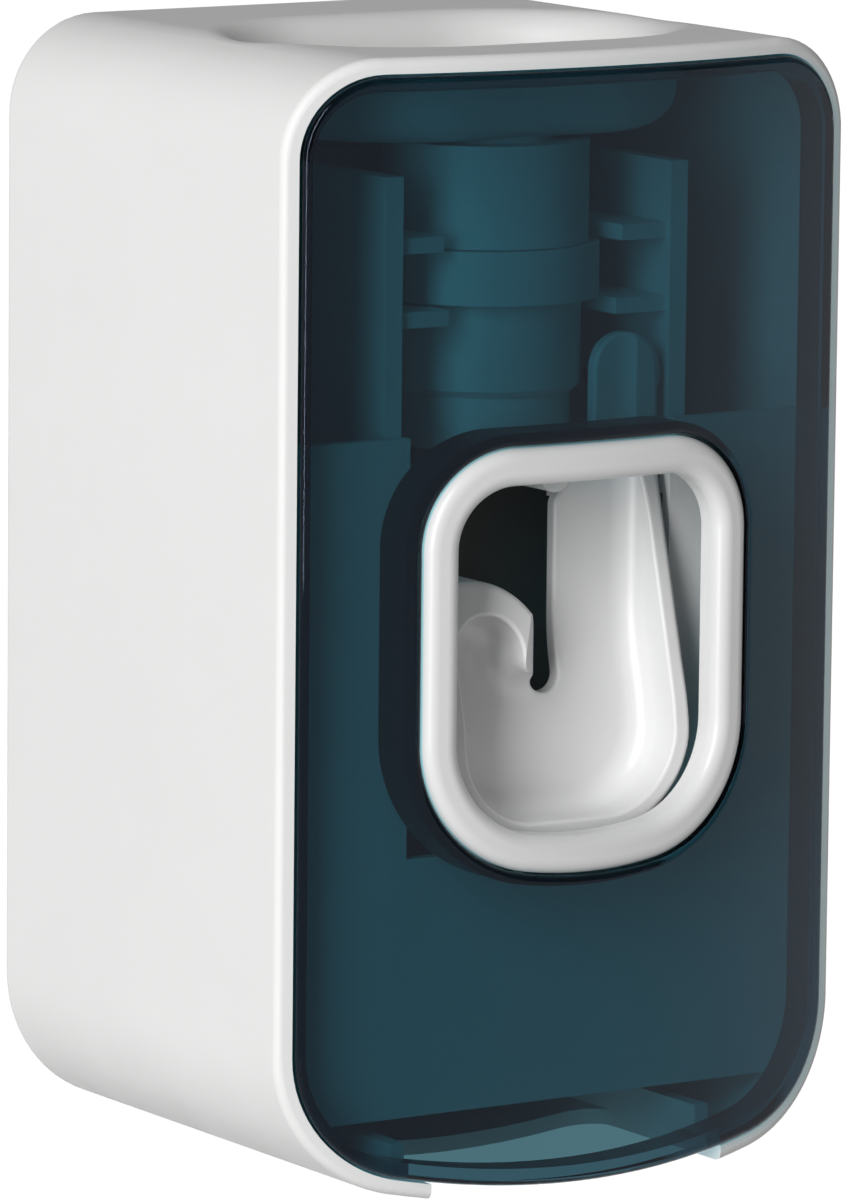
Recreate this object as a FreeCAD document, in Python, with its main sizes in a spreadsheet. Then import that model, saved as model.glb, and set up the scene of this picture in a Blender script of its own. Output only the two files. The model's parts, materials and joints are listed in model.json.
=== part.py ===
import FreeCAD, Part
import math
import os
import Sketcher

# Wall-hung toothpaste dispenser. Millimetres. The wall plane is Y = 0, the front faces -Y,
# Z = 0 is the middle of the housing's height. "Reach" is a distance from the wall plane.

V = FreeCAD.Vector
doc = FreeCAD.newDocument("ToothpasteDispenser")

SIZES = {
    # housing
    "body_width": 84.0,
    "body_height": 145.0,
    "body_depth": 74.0,
    "front_radius": 133.0,
    "top_corner": 12.5,
    "bottom_corner": 18.5,
    "bottom_radius": 135.0,
    "wall": 2.0,
    "wall_gap": 0.6,
    "rim_round": 1.2,
    "rib_width": 1.2,
    "rib_depth": 2.0,
    "rear_inset": 0.8,
    # well for the tube's shoulder
    "well_margin": 14.0,
    "well_width": 37.0,
    "well_setback": 34.0,
    "well_depth": 10.5,
    "well_lip": 4.0,
    "bowl_round": 5.0,
    # notch and rails in the floor
    "notch_width": 44.0,
    "notch_depth": 32.0,
    "notch_corner": 5.0,
    "rail_width": 2.0,
    "rail_height": 3.0,
    "rail_sink": 2.0,
    "rail_overrun": 5.0,
    "rail_stop": 2.5,
    "notch_rise": 12.0,
    # tinted cover
    "cover_thickness": 2.2,
    "cover_gap": 0.25,
    "cover_proud": 0.8,
    "cover_round": 0.8,
    "skirt_depth": 6.5,
    "skirt_wall": 2.0,
    # black sleeve behind the ring
    "sleeve_wall": 1.5,
    "sleeve_depth": 8.0,
    # bezel ring
    "ring_width": 48.0,
    "ring_height": 54.3,
    "ring_drop": 48.9,
    "ring_band": 4.8,
    "ring_depth": 4.2,
    "ring_proud": 0.6,
    "ring_top_corner": 12.5,
    "ring_bottom_corner": 17.3,
    "ring_bottom_radius": 60.0,
    "ring_gap": 0.2,
    "ring_round": 1.8,
    # pump, top down
    "pump_setback": 26.0,
    "head_gap": 0.5,
    "head_radius": 13.0,
    "head_height": 13.0,
    "spigot_length": 5.5,
    "throat_radius": 6.0,
    "collar_radius": 14.4,
    "collar_height": 7.0,
    "barrel_radius": 12.2,
    "barrel_drop": 11.8,
    "barrel_wall": 1.1,
    "plunger_drop": 7.0,
    "plunger_wall": 1.3,
    "plunger_stroke": 3.0,
    "stroke_spare": 2.0,
    "slide_gap": 0.08,
    "fit_gap": 0.05,
    "valve_thickness": 1.5,
    "valve_seat": 2.0,
    "valve_stem": 1.5,
    "seal_width": 1.6,
    "seal_drop": 1.2,
    "plunger_chamfer": 0.6,
    "barrel_chamfer": 0.8,
    "collar_play": 0.1,
    "spout_setback": 9.5,
    "spout_radius": 2.2,
    "spout_bore": 1.2,
    "spout_root": 4.0,
    "spout_stem": 2.8,
    "spout_foot": 0.4,
    "spout_step": 0.5,
    "outlet_length": 3.0,
    "outlet_lip": 0.7,
    "slit_length": 2.4,
    "slit_width": 0.5,
    "spring_radius": 8.8,
    "spring_wire": 1.0,
    "spring_turns": 6.0,
    # silicone socket for the tube's neck
    "socket_flange": 10.2,
    "socket_flange_height": 2.4,
    "socket_radius": 9.0,
    "socket_rise": 1.5,
    "socket_bore": 6.2,
    "socket_gap": 0.2,
    "socket_step": 1.2,
    "socket_grip": 6.0,
    "socket_chamfer": 1.0,
    # pump chassis
    "cheek_inside": 20.0,
    "cheek_wall": 2.5,
    "cheek_setback": 14.0,
    "chassis_setback": 50.0,
    "chassis_drop": 3.0,
    "chassis_foot": 6.7,
    "shelf_thickness": 2.0,
    "shelf_gap": 0.15,
    "slot_gap": 0.35,
    # trigger
    "paddle_width": 36.6,
    "paddle_overlap": 1.4,
    "paddle_setback": 4.2,
    "paddle_corner": 13.0,
    "paddle_lean": 15.0,
    "bend_rise": 14.3,
    "paddle_thickness": 9.4,
    "trough_depth": 7.4,
    "trough_round": 3.5,
    "trough_corner": 4.8,
    "bend_round": 30.0,
    "trough_lip": 2.6,
    "slot_width": 5.0,
    "slot_offset": 1.2,
    "slot_rise": 17.4,
    "shoulder_rise": 33.0,
    "shoulder_round": 11.2,
    "shoulder_band": 4.4,
    "shoulder_corner": 2.0,
    "roll_width": 12.0,
    "band_taper": 1.0,
    "rim_soft": 1.0,
    "lip_soft": 0.5,
    "arm_setback": 13.4,
    "arm_thickness": 2.6,
    "tip_radius": 4.6,
    "tip_rise": 1.0,
    "neck_drop": 6.0,
    "arm_dish": 1.04,
    "pivot_setback": 19.0,
    "pivot_rise": 8.8,
    "pin_radius": 1.5,
    "bush_wall": 0.9,
    "boss_wall": 1.5,
    "boss_length": 6.0,
    "boss_gap": 0.6,
    "pin_tail": 2.0,
    "pin_end": 1.0,
    "pin_head": 1.2,
    "retainer_gap": 0.4,
    "retainer_lip": 0.9,
    "retainer_thickness": 0.8,
    # lift finger behind the trigger
    "finger_gap": 0.3,
    "finger_height": 2.8,
    "finger_width": 3.4,
    "finger_offset": 6.7,
    "finger_setback": 27.8,
    "finger_plate": 2.2,
    "finger_margin": 1.0,
    "finger_inset": 2.4,
    "finger_head": 0.8,
    "finger_bite": 0.4,
    # inner panels
    "guard_gap": 0.13,
    "guard_thickness": 1.6,
    "guard_drop": 48.5,
    "sill_height": 33.0,
    "guard_opening": 19.8,
    "guard_boss": 9.0,
    "guard_boss_depth": 11.0,
    "sill_rise": 1.5,
    "boss_drop": 8.0,
    "panel_setback": 38.0,
    "panel_thickness": 2.0,
    "panel_gap": 1.0,
    "panel_drop": 58.9,
    "panel_foot": 16.5,
    # screws and posts
    "screw_radius": 1.45,
    "screw_head": 2.8,
    "screw_head_height": 1.8,
    "screw_length": 9.0,
    "post_radius": 3.6,
    "screw_margin": 6.0,
    "screw_drop": 8.0,
    # wall plate
    "pad_thickness": 1.0,
    "plate_thickness": 2.6,
    "plate_width": 44.0,
    "plate_height": 56.0,
    "plate_corner": 5.0,
    "hook_width": 8.0,
    "hook_spacing": 13.0,
    "hook_thickness": 3.0,
    "hook_low": 10.0,
    "hook_lip": 5.0,
    "lift_travel": 6.0,
    "mount_gap": 0.5,
    "pad_inset": 1.0,
    # how far a cutting shape runs past the face it cuts, and past the front
    "overcut": 1.0,
    "front_room": 12.0,
}

sheet = doc.addObject("Spreadsheet::Sheet", "Sizes")
for row, (alias, number) in enumerate(SIZES.items(), start=1):
    sheet.set(f"A{row}", alias)
    sheet.set(f"B{row}", str(number))
    sheet.setAlias(f"B{row}", alias)
doc.recompute()


class Size:
    """A number that carries the sheet expression it was worked out with."""

    def __init__(self, text, value):
        self.text = text
        self.value = value

    def __add__(self, other):
        other = size(other)
        return Size(f"({self.text} + {other.text})", self.value + other.value)

    def __sub__(self, other):
        other = size(other)
        return Size(f"({self.text} - {other.text})", self.value - other.value)

    def __mul__(self, other):
        other = size(other)
        return Size(f"({self.text} * {other.text})", self.value * other.value)

    def __truediv__(self, other):
        other = size(other)
        return Size(f"({self.text} / {other.text})", self.value / other.value)

    def __radd__(self, other):
        return size(other) + self

    def __rsub__(self, other):
        return size(other) - self

    def __rmul__(self, other):
        return size(other) * self

    def __neg__(self):
        return Size(f"(0 - {self.text})", -self.value)

    def squared(self):
        return self * self

    def root(self):
        return Size(f"sqrt({self.text})", math.sqrt(self.value))


def size(value):
    """The Size of a plain number; a Size comes back as it is."""
    if isinstance(value, Size):
        return value
    return Size(f"({float(value)!r})", float(value))


class Sheet:
    """Sheet cells by alias, as Sizes."""

    def __getattr__(self, alias):
        return Size(f"Sizes.{alias}", float(sheet.get(alias)))


s = Sheet()
finished = {}


def bind(thing, prop, value):
    thing.setExpression(prop, size(value).text)


def place(thing, x=0, y=0, z=0):
    for axis, value in zip("xyz", (x, y, z)):
        bind(thing, f"Placement.Base.{axis}", value)


def node(label, thing):
    """Marks a finished sub-part; its label is its file name."""
    thing.Label = label
    finished[label] = thing
    return thing


def box(name, x, y, z):
    """A Part box over three (low, high) ranges."""
    made = doc.addObject("Part::Box", name)
    for prop, (low, high) in zip(("Length", "Width", "Height"), (x, y, z)):
        bind(made, prop, size(high) - low)
    place(made, x[0], y[0], z[0])
    return made


TURNS = {
    "X": FreeCAD.Rotation(V(0, 1, 0), 90),
    "Y": FreeCAD.Rotation(V(1, 0, 0), -90),
    "Z": FreeCAD.Rotation(),
}


def rod(name, axis, radius, start, length):
    """A Part cylinder from start, along +axis."""
    made = doc.addObject("Part::Cylinder", name)
    made.Placement = FreeCAD.Placement(V(), TURNS[axis])
    bind(made, "Radius", radius)
    bind(made, "Height", length)
    place(made, *start)
    return made


def fuse(name, pieces):
    made = doc.addObject("Part::MultiFuse", name)
    made.Shapes = pieces
    made.Refine = True
    return made


def common(name, pieces):
    made = doc.addObject("Part::MultiCommon", name)
    made.Shapes = pieces
    return made


def cut(name, base, tools):
    made = doc.addObject("Part::Cut", name)
    made.Base = base
    made.Tool = tools[0] if len(tools) == 1 else fuse(f"{name}Tools", tools)
    made.Refine = True
    return made


def rounded(name, base, radius, chosen):
    """Part fillet on the edges that the test picks."""
    doc.recompute()
    made = doc.addObject("Part::Fillet", name)
    made.Base = base
    picked = [i for i, edge in enumerate(base.Shape.Edges, 1) if chosen(edge)]
    made.Edges = [(i, radius.value, radius.value) for i in picked]
    doc.recompute()
    return made


def datum(sketch, name, value, *constraint):
    """A driving dimension bound to the sheet."""
    index = sketch.addConstraint(Sketcher.Constraint(*constraint, size(value).value))
    sketch.renameConstraint(index, name)
    bind(sketch, f"Constraints.{name}", value)


def arc(sketch, centre, radius, start, end):
    circle = Part.Circle(V(centre[0], centre[1], 0), V(0, 0, 1), radius)
    return sketch.addGeometry(Part.ArcOfCircle(circle, math.radians(start), math.radians(end)))


def line(sketch, first, second):
    return sketch.addGeometry(Part.LineSegment(V(first[0], first[1], 0), V(second[0], second[1], 0)))


def shield(name, half, top, low, top_round, low_round, base_round, inset=0):
    """Front outline: flat top, round corners, bottom bowed down; drawn on the XZ plane."""
    half, top, low = half - inset, top - inset, low + inset
    top_round, low_round, base_round = top_round - inset, low_round - inset, base_round - inset
    sketch = doc.addObject("Sketcher::SketchObject", name)
    sketch.Placement = FreeCAD.Placement(V(), FreeCAD.Rotation(V(1, 0, 0), 90))
    h, t, b = half.value, top.value, low.value
    rt, rl, rb = top_round.value, low_round.value, base_round.value
    across = h - rl
    drop = math.sqrt((rb - rl) ** 2 - across**2)
    corner_z = b + rb - drop
    swing = math.degrees(math.atan2(across, drop))
    scale = rb / (rb - rl)
    end_z = b + rb - drop * scale
    upper = line(sketch, (-h + rt, t), (h - rt, t))
    top_right = arc(sketch, (h - rt, t - rt), rt, 0, 90)
    right = line(sketch, (h, t - rt), (h, corner_z))
    low_right = arc(sketch, (across, corner_z), rl, swing - 90, 0)
    base = arc(sketch, (0, b + rb), rb, 270 - swing, 270 + swing)
    low_left = arc(sketch, (-across, corner_z), rl, 180, 270 - swing)
    left = line(sketch, (-h, corner_z), (-h, t - rt))
    top_left = arc(sketch, (-h + rt, t - rt), rt, 90, 180)
    joins = [(upper, 2, top_right, 2), (top_right, 1, right, 1)]
    joins += [(right, 2, low_right, 2), (low_right, 1, base, 2)]
    joins += [(base, 1, low_left, 2), (low_left, 1, left, 1)]
    joins += [(left, 2, top_left, 2), (top_left, 1, upper, 1)]
    for join in joins:
        sketch.addConstraint(Sketcher.Constraint("Tangent", *join))
    sketch.addConstraint(Sketcher.Constraint("Horizontal", upper))
    sketch.addConstraint(Sketcher.Constraint("Vertical", right))
    sketch.addConstraint(Sketcher.Constraint("Vertical", left))
    sketch.addConstraint(Sketcher.Constraint("Equal", top_right, top_left))
    sketch.addConstraint(Sketcher.Constraint("Equal", low_right, low_left))
    sketch.addConstraint(Sketcher.Constraint("PointOnObject", base, 3, -2))
    datum(sketch, "top_round", top_round, "Radius", top_right)
    datum(sketch, "low_round", low_round, "Radius", low_right)
    datum(sketch, "base_round", base_round, "Radius", base)
    datum(sketch, "right_half", half, "DistanceX", -1, 1, right, 1)
    datum(sketch, "left_half", half, "DistanceX", left, 1, -1, 1)
    datum(sketch, "top", top, "DistanceY", -1, 1, upper, 1)
    datum(sketch, "base_centre", low + base_round, "DistanceY", -1, 1, base, 3)
    return sketch


def forward(name, sketch, near, far):
    """Pushes a front outline from one reach to another."""
    bind(sketch, "Placement.Base.y", -size(near))
    made = doc.addObject("Part::Extrusion", name)
    made.Base = sketch
    made.DirMode = "Normal"
    made.Solid = True
    bind(made, "LengthFwd", size(far) - near)
    return made


def bowed(name, front, rear):
    """A full-height slab between two bowed surfaces that share the front's centre."""
    sketch = doc.addObject("Sketcher::SketchObject", f"{name}Plan")
    half, centre = (s.body_width + s.front_room) / 2, s.front_radius - s.body_depth
    h, c = half.value, centre.value
    front_swing = math.degrees(math.asin(h / front.value))
    rear_swing = math.degrees(math.asin(h / rear.value))
    front_y = c - math.sqrt(front.value**2 - h * h)
    rear_y = c - math.sqrt(rear.value**2 - h * h)
    outer = arc(sketch, (0, c), front.value, 270 - front_swing, 270 + front_swing)
    right = line(sketch, (h, front_y), (h, rear_y))
    inner = arc(sketch, (0, c), rear.value, 270 - rear_swing, 270 + rear_swing)
    left = line(sketch, (-h, rear_y), (-h, front_y))
    for pair in ((outer, 2, right, 1), (right, 2, inner, 2), (inner, 1, left, 1), (left, 2, outer, 1)):
        sketch.addConstraint(Sketcher.Constraint("Coincident", *pair))
    sketch.addConstraint(Sketcher.Constraint("Coincident", outer, 3, inner, 3))
    sketch.addConstraint(Sketcher.Constraint("PointOnObject", outer, 3, -2))
    sketch.addConstraint(Sketcher.Constraint("Vertical", right))
    sketch.addConstraint(Sketcher.Constraint("Vertical", left))
    datum(sketch, "centre", centre, "DistanceY", -1, 1, outer, 3)
    datum(sketch, "front", front, "Radius", outer)
    datum(sketch, "rear", rear, "Radius", inner)
    datum(sketch, "right_half", half, "DistanceX", -1, 1, right, 1)
    datum(sketch, "left_half", half, "DistanceX", left, 1, -1, 1)
    bind(sketch, "Placement.Base.z", -s.body_height)
    made = doc.addObject("Part::Extrusion", name)
    made.Base = sketch
    made.DirMode = "Normal"
    made.Solid = True
    bind(made, "LengthFwd", s.body_height * 2)
    return made


def stadium(name, length, width, reach, low, high):
    """An upright slab with round ends along X."""
    sketch = doc.addObject("Sketcher::SketchObject", f"{name}Plan")
    r, c = width.value / 2, (length.value - width.value) / 2
    right = arc(sketch, (c, 0), r, -90, 90)
    left = arc(sketch, (-c, 0), r, 90, 270)
    front = line(sketch, (-c, -r), (c, -r))
    rear = line(sketch, (c, r), (-c, r))
    for join in ((front, 2, right, 1), (right, 2, rear, 1), (rear, 2, left, 1), (left, 2, front, 1)):
        sketch.addConstraint(Sketcher.Constraint("Tangent", *join))
    sketch.addConstraint(Sketcher.Constraint("Equal", right, left))
    for end in (right, left):
        sketch.addConstraint(Sketcher.Constraint("PointOnObject", end, 3, -1))
    datum(sketch, "end_round", width / 2, "Radius", right)
    datum(sketch, "right_end", (length - width) / 2, "DistanceX", -1, 1, right, 3)
    datum(sketch, "left_end", (length - width) / 2, "DistanceX", left, 3, -1, 1)
    place(sketch, 0, -reach, low)
    made = doc.addObject("Part::Extrusion", name)
    made.Base = sketch
    made.DirMode = "Normal"
    made.Solid = True
    bind(made, "LengthFwd", size(high) - low)
    return made


def turned(label, profile, low):
    """A PartDesign body turned about the pump's axis; profile points are (radius, height above low)."""
    body = doc.addObject("PartDesign::Body", f"{label}Body")
    sketch = body.newObject("Sketcher::SketchObject", f"{label}Profile")
    plane = next(item for item in body.Origin.OriginFeatures if item.Role == "XZ_Plane")
    sketch.AttachmentSupport = [(plane, "")]
    sketch.MapMode = "FlatFace"
    points = [(size(r), size(z)) for r, z in profile]
    count = len(points)
    for i, (r, z) in enumerate(points):
        r_next, z_next = points[(i + 1) % count]
        line(sketch, (r.value, z.value), (r_next.value, z_next.value))
    for i, (r, z) in enumerate(points):
        sketch.addConstraint(Sketcher.Constraint("Coincident", (i - 1) % count, 2, i, 1))
        if r.value == 0:
            sketch.addConstraint(Sketcher.Constraint("PointOnObject", i, 1, -2))
        else:
            datum(sketch, f"radius_{i}", r, "DistanceX", -1, 1, i, 1)
        if z.value == 0:
            sketch.addConstraint(Sketcher.Constraint("PointOnObject", i, 1, -1))
        else:
            datum(sketch, f"height_{i}", z, "DistanceY", -1, 1, i, 1)
    turn = body.newObject("PartDesign::Revolution", f"{label}Turn")
    turn.Profile = sketch
    turn.ReferenceAxis = (sketch, ["V_Axis"])
    turn.Angle = 360
    place(body, 0, -pump_reach, low)
    return node(label, body)


def screw(name, x, reach, z):
    """A pan-head screw driven towards the wall; reach is where its head sits."""
    head_y = -reach - s.screw_head_height
    head = rod(f"{name}Head", "Y", s.screw_head, (x, head_y, z), s.screw_head_height)
    shank = rod(f"{name}Shank", "Y", s.screw_radius, (x, head_y, z), s.screw_length + s.screw_head_height)
    arm = s.screw_head * 0.6
    blade = s.screw_head * 0.14
    deep = (head_y - s.overcut, head_y + s.screw_head_height * 0.6)
    across = box(f"{name}Across", (x - arm, x + arm), deep, (z - blade, z + blade))
    upright = box(f"{name}Upright", (x - blade, x + blade), deep, (z - arm, z + arm))
    return cut(name, fuse(f"{name}Blank", [head, shank]), [across, upright])


def group(label, pieces):
    made = doc.addObject("Part::Compound", f"{label}Group")
    made.Links = pieces
    return node(label, made)


# Levels and reaches that several parts share.
half = s.body_width / 2
top = s.body_height / 2
well_length = s.body_width - s.well_margin * 2
well_reach = s.body_depth - s.well_setback
notch_reach = s.body_depth - s.notch_depth
pump_reach = s.body_depth - s.pump_setback
spout_reach = s.body_depth - s.spout_setback
cheek_reach = s.body_depth - s.cheek_setback
back_reach = s.body_depth - s.chassis_setback
paddle_reach = s.body_depth - s.paddle_setback
arm_reach = s.body_depth - s.arm_setback
pivot_reach = s.body_depth - s.pivot_setback
finger_reach = s.body_depth - s.finger_setback
panel_reach = s.body_depth - s.panel_setback
bowl_under = top - s.well_depth - s.wall
head_top = bowl_under - s.head_gap
collar_top = head_top - s.head_height
collar_low = collar_top - s.collar_height
barrel_low = collar_low - s.barrel_drop
plunger_low = barrel_low - s.plunger_drop
pivot_z = plunger_low + s.pivot_rise
ring_top = top - s.ring_drop
ring_low = ring_top - s.ring_height
paddle_low = ring_low + s.ring_band - s.paddle_overlap
chassis_low = plunger_low - s.chassis_foot
cover_face = s.front_radius + s.cover_proud
cover_half = half - s.wall - s.cover_gap
skirt_rear = cover_face - s.skirt_depth
skirt_reach = (skirt_rear.squared() - cover_half.squared()).root() - s.front_radius + s.body_depth
guard_reach = skirt_reach - s.guard_gap - s.guard_thickness
guard_top = top - s.guard_drop
guard_sill = ring_low + s.sill_rise
guard_low = guard_sill - s.sill_height
panel_half = half - s.wall - s.panel_gap
panel_top = top - s.panel_drop
panel_low = s.panel_foot - top
plate_back = s.wall_gap + s.rear_inset
back_face = plate_back + s.wall
plate_front = s.pad_thickness + s.plate_thickness
recess_floor = plate_front + s.mount_gap
recess_half = s.plate_width / 2 + s.mount_gap * 2
recess_high = s.plate_height / 2 + s.mount_gap
recess_low = -s.plate_height / 2 - s.lift_travel - s.mount_gap
chassis_screw_x = s.cheek_inside - s.post_radius - s.slot_gap
chassis_screw_z = (chassis_low + s.screw_margin, head_top - s.screw_drop)
panel_screw_x = panel_half - s.post_radius - s.panel_gap
panel_screw_z = (panel_top + panel_low) / 2
boss_levels = (guard_top - s.screw_drop, guard_sill - s.boss_drop)
bore_radius = s.barrel_radius - s.barrel_wall
plunger_radius = bore_radius - s.slide_gap
plunger_height = collar_top - s.spigot_length - s.plunger_stroke - s.stroke_spare - plunger_low
body_outline = (half, top, -top, s.top_corner, s.bottom_corner, s.bottom_radius)
ring_outline = (s.ring_width / 2, ring_top, ring_low)
ring_outline += (s.ring_top_corner, s.ring_bottom_corner, s.ring_bottom_radius)
FAR = s.body_depth + s.front_room


# Housing: a bowed shell with the well in its top, the notch and rails of its floor, and a rib at the rear.
def housing():
    axis = (0, s.front_radius - s.body_depth, -s.body_height)
    block = common(
        "HousingBlock",
        [
            forward("HousingOutline", shield("HousingFront", *body_outline), s.wall_gap, FAR),
            rod("HousingBow", "Z", s.front_radius, axis, s.body_height * 2),
        ],
    )
    seat = back_face + s.fit_gap
    rear = forward("RearOpening", shield("RearInside", *body_outline, s.wall), 0, seat)
    throat = forward("RibOpening", shield("RibInside", *body_outline, s.wall + s.rib_width), 0, FAR)
    inside = shield("HousingInside", *body_outline, s.wall)
    cavity = forward("HousingCavity", inside, seat + s.rib_depth, FAR)
    shell = cut("HousingShell", block, [rear, throat, cavity])
    bowl_length, bowl_width = well_length + s.wall * 2, s.well_width + s.wall * 2
    bowl = stadium("WellBowl", bowl_length, bowl_width, well_reach, bowl_under, top - s.wall / 2)

    def bowl_edge(edge):
        return abs(edge.BoundBox.ZMax - bowl_under.value) < 0.01

    bowl = rounded("WellBowlRound", bowl, s.bowl_round, bowl_edge)
    added = [shell, bowl]
    holes = []
    for side in (-1, 1):
        word = "Left" if side < 0 else "Right"
        for level, z in enumerate(boss_levels):
            outer = half - s.wall / 2
            inner = outer - s.guard_boss
            span = (inner, outer) if side > 0 else (-outer, -inner)
            deep = (-guard_reach, -guard_reach + s.guard_boss_depth)
            added.append(box(f"GuardBoss{word}{level}", span, deep, (z - s.post_radius, z + s.post_radius)))
        inner = s.notch_width / 2
        outer = inner + s.rail_width
        span = (inner, outer) if side > 0 else (-outer, -inner)
        floor = -top + s.wall / 2 + s.rail_sink
        rail_rear = -notch_reach + s.rail_overrun
        long = (-guard_reach - s.rail_overrun, rail_rear)
        added.append(box(f"FloorRail{word}", span, long, (floor, floor + s.wall + s.rail_height)))
        stop = (rail_rear - s.rail_stop, rail_rear)
        stop_top = floor + s.wall + s.rail_height + s.rail_stop
        added.append(box(f"RailStop{word}", span, stop, (floor, stop_top)))
    holes.append(stadium("Well", well_length, s.well_width, well_reach, top - s.well_depth, top + s.wall))
    hole_at = (0, -pump_reach, bowl_under - s.wall)
    holes.append(rod("SocketHole", "Z", s.socket_radius + s.socket_gap, hole_at, s.wall * 3))
    notch = s.notch_width / 2
    gap = box("FloorNotch", (-notch, notch), (-FAR, -notch_reach), (-top - s.wall, -top + s.notch_rise))

    def notch_corner(edge):
        b = edge.BoundBox
        return b.XLength < 0.01 and b.YLength < 0.01 and abs(b.YMax + notch_reach.value) < 0.01

    holes.append(rounded("NotchCorners", gap, s.notch_corner, notch_corner))
    hollow = cut("HousingHollow", fuse("HousingFilled", added), holes)

    def well_edge(edge):
        b = edge.BoundBox
        wide = well_length.value / 2 + 0.1
        inside = b.XMax < wide and b.XMin > -wide and b.YMax < -s.wall.value * 2
        inside = inside and b.YMin > -well_reach.value - s.well_width.value / 2 - 0.1
        return inside and b.ZLength < 0.01 and abs(b.ZMin - top.value) < 0.01

    lipped = rounded("WellLip", hollow, s.well_lip, well_edge)

    def outer_edge(edge):
        """Edges where the outside wall meets the front rim or the rear."""
        middle = edge.valueAt((edge.FirstParameter + edge.LastParameter) / 2)
        b = edge.BoundBox
        on_rear = b.YLength < 0.01 and abs(b.YMax + s.wall_gap.value) < 0.01
        centre = s.front_radius.value - s.body_depth.value
        on_front = abs(math.hypot(middle.x, middle.y - centre) - s.front_radius.value) < 0.01
        h, t = half.value, top.value
        on_side = abs(abs(middle.x) - h) < 0.01 or abs(middle.z - t) < 0.01
        base = math.hypot(middle.x, middle.z + t - s.bottom_radius.value)
        on_base = abs(base - s.bottom_radius.value) < 0.01
        tc, bc = s.top_corner.value, s.bottom_corner.value
        on_top_corner = abs(math.hypot(abs(middle.x) - h + tc, middle.z - t + tc) - tc) < 0.01
        across = h - bc
        corner_z = -t + s.bottom_radius.value - math.sqrt((s.bottom_radius.value - bc) ** 2 - across**2)
        on_low_corner = abs(math.hypot(abs(middle.x) - across, middle.z - corner_z) - bc) < 0.01
        return (on_rear or on_front) and (on_side or on_base or on_top_corner or on_low_corner)

    node("housing", rounded("HousingEdges", lipped, s.rim_round, outer_edge))


# Rear cover: a plate bonded against the housing's rib, with the recess for the hooks and the posts.
def rear_cover():
    outline = shield("RearFront", *body_outline, s.wall + s.fit_gap)
    recess_wall = recess_half + s.wall
    deep = (-recess_floor - s.wall, -plate_back - s.wall / 2)
    tall = (recess_low - s.wall, recess_high + s.wall)
    added = [forward("RearPlate", outline, plate_back, back_face)]
    added.append(box("RecessBlock", (-recess_wall, recess_wall), deep, tall))
    holes = [box("HookRecess", (-recess_half, recess_half), (-recess_floor, 0), (recess_low, recess_high))]
    bite = back_face - s.wall / 2
    pilot = s.screw_radius + s.fit_gap
    for side in (-1, 1):
        word = "Left" if side < 0 else "Right"
        for level, z in enumerate(chassis_screw_z):
            at = (chassis_screw_x * side, -back_reach, z)
            added.append(rod(f"ChassisPost{word}{level}", "Y", s.post_radius, at, back_reach - bite))
            holes.append(rod(f"ChassisPilot{word}{level}", "Y", pilot, at, s.screw_length))
        at = (panel_screw_x * side, -panel_reach, panel_screw_z)
        added.append(rod(f"PanelPost{word}", "Y", s.post_radius, at, panel_reach - bite))
        holes.append(rod(f"PanelPilot{word}", "Y", pilot, at, s.screw_length))
        hook = s.hook_spacing / 2 * side
        gap = s.hook_width / 2 + s.mount_gap
        across = (hook - gap, hook + gap)
        deep = (-recess_floor - s.wall * 2, -recess_floor + s.wall / 2)
        tall = (s.hook_low - s.lift_travel - s.mount_gap, s.hook_low + s.hook_thickness + s.fit_gap)
        holes.append(box(f"HookSlot{word}", across, deep, tall))
    node("rear_cover", cut("RearCover", fuse("RearFilled", added), holes))


# Tinted cover: a bowed plate with a skirt behind its edge and the opening for the ring.
def cover():
    inset = s.wall + s.cover_gap
    rear = cover_face - s.skirt_depth
    slab = common(
        "CoverSlab",
        [
            forward("CoverOutline", shield("CoverFront", *body_outline, inset), s.body_depth / 2, FAR),
            bowed("CoverBow", cover_face, rear),
        ],
    )
    back = shield("CoverBack", *body_outline, inset + s.skirt_wall)
    core = common(
        "CoverCore",
        [
            forward("CoverInside", back, s.body_depth / 2, FAR),
            bowed("CoverHollow", cover_face - s.cover_thickness, rear - s.overcut),
        ],
    )
    outline = shield("OpeningFront", *ring_outline, -s.ring_gap)
    opening = forward("CoverOpening", outline, s.body_depth / 2, FAR)
    blank = cut("CoverBlank", slab, [core, opening])

    def front_edge(edge):
        middle = edge.valueAt((edge.FirstParameter + edge.LastParameter) / 2)
        centre = s.front_radius.value - s.body_depth.value
        return abs(math.hypot(middle.x, middle.y - centre) - cover_face.value) < 0.01

    node("front_cover", rounded("CoverEdges", blank, s.cover_round, front_edge))


# Black sleeve bonded behind the cover round its opening; the ring's rear end sits in it.
def sleeve():
    outer = shield("SleeveFront", *ring_outline, -s.ring_gap - s.sleeve_wall)
    tube = common(
        "SleeveTube",
        [
            forward("SleeveOutline", outer, s.body_depth / 2, FAR),
            bowed("SleeveBow", cover_face - s.cover_thickness - s.fit_gap, cover_face - s.sleeve_depth),
        ],
    )
    inner = shield("SleeveInside", *ring_outline, -s.ring_gap)
    node("ring_sleeve", cut("Sleeve", tube, [forward("SleeveBore", inner, s.body_depth / 2, FAR)]))


# Bezel ring in the cover's opening.
def ring():
    face = cover_face + s.ring_proud
    band = common(
        "RingBand",
        [
            forward("RingOutline", shield("RingFront", *ring_outline), s.body_depth / 2, FAR),
            bowed("RingBow", face, face - s.ring_depth),
        ],
    )
    inside = shield("RingInside", *ring_outline, s.ring_band)
    opening = forward("RingOpening", inside, s.body_depth / 2, FAR)
    blank = cut("RingBlank", band, [opening])

    def front_edge(edge):
        middle = edge.valueAt((edge.FirstParameter + edge.LastParameter) / 2)
        centre = s.front_radius.value - s.body_depth.value
        return abs(math.hypot(middle.x, middle.y - centre) - face.value) < 0.01

    node("aperture_ring", rounded("RingEdges", blank, s.ring_round, front_edge))


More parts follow.
